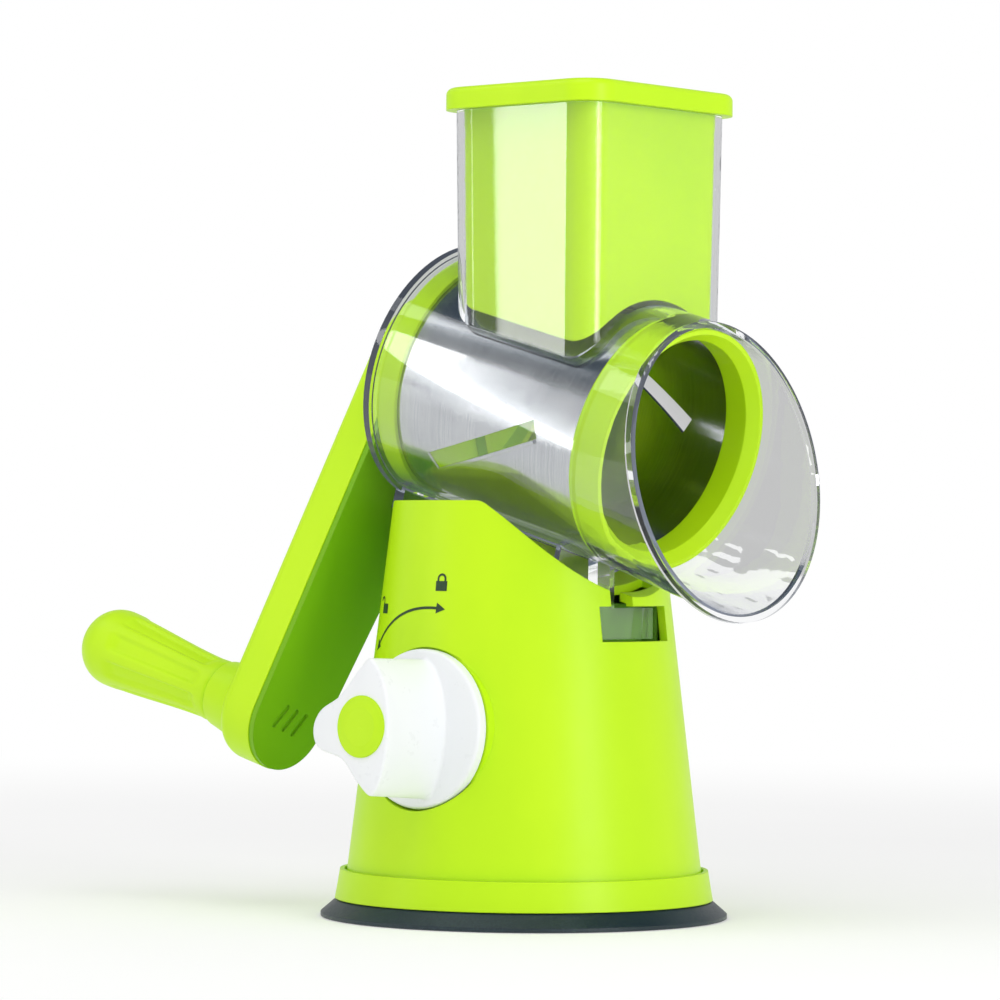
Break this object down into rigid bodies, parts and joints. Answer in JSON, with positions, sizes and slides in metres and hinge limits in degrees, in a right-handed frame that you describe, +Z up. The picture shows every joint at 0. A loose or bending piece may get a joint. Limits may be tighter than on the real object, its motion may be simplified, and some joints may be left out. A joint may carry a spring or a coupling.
{
  "type": "rotary drum grater",
  "caption": "Hand-cranked rotary drum grater: clear feed hopper and barrel with a slicing drum, offset crank, and a cone base with a lever-locked suction foot.",
  "frame": {"origin": "centre of the suction foot's flat underside, on the worktop", "axes": "+Z up, -Y towards the outlet mouth, +Y towards the crank, -X towards the lock knob"},
  "size_m": [0.1443, 0.2441, 0.2625],
  "materials": {
    "lime_plastic": "gloss",
    "white_plastic": "gloss",
    "clear_plastic": "polished clear",
    "pad_rubber": "satin",
    "grey_plastic": "matt",
    "drum_steel": "polished",
    "zinc_steel": "zinc plated",
    "bearing_plastic": "satin"
  },
  "bodies": {
    "base": {"suction_pad": "pad_rubber", "bottom_ring": "lime_plastic", "guide_plate": "grey_plastic", "plate_screws": "zinc_steel", "lift_spring": "zinc_steel", "base_shell": "lime_plastic"},
    "stem": {"pull_stem": "grey_plastic"},
    "lock_knob": {"knob": "white_plastic", "knob_screw": "zinc_steel", "knob_cap": "lime_plastic", "cam_shaft": "zinc_steel"},
    "housing": {"feed_housing": "clear_plastic", "drive_bush": "bearing_plastic"},
    "pusher": {"pusher_body": "lime_plastic", "pusher_lid": "lime_plastic"},
    "crank": {"crank_arm": "lime_plastic", "crank_cover": "lime_plastic", "drive_shaft": "zinc_steel", "shaft_screw": "zinc_steel", "pivot_cap": "lime_plastic", "grip_pin": "zinc_steel", "pin_screw": "zinc_steel"},
    "drum": {"drum_sheet": "drum_steel", "drum_front_ring": "lime_plastic", "drum_rear_hub": "lime_plastic"},
    "hand_grip": {"grip": "lime_plastic"}
  },
  "joints": [
    {"name": "knob_turn", "type": "hinge", "parent": "base", "child": "lock_knob", "pos_m": [-0.0506, 0, 0.061], "axis": [0.9986, 0, -0.0523], "range_deg": [0, 90]},
    {"name": "stem_lift", "type": "slide", "parent": "base", "child": "stem", "axis": [0, 0, 1], "range_m": [0, 0.00509], "deforming": ["lift_spring"]},
    {"name": "housing_lift", "type": "slide", "parent": "base", "child": "housing", "axis": [0, 0, 1], "range_m": [0, 0.06]},
    {"name": "pusher_slide", "type": "slide", "parent": "housing", "child": "pusher", "axis": [0, 0, 1], "range_m": [0, 0.115]},
    {"name": "crank_spin", "type": "hinge", "parent": "housing", "child": "crank", "pos_m": [0, 0, 0.1659], "axis": [0, -0.9636, -0.2672], "continuous": true},
    {"name": "drum_withdraw", "type": "slide", "parent": "crank", "child": "drum", "axis": [0, -0.9636, -0.2672], "range_m": [0, 0.1]},
    {"name": "grip_spin", "type": "hinge", "parent": "crank", "child": "hand_grip", "pos_m": [-0.0407, 0.09518, 0.06965], "axis": [0, -0.9636, -0.2672], "continuous": true}
  ],
  "couplings": [
    {"joint": "knob_turn", "follows": "stem_lift", "rad_per_m": 308.5}
  ]
}
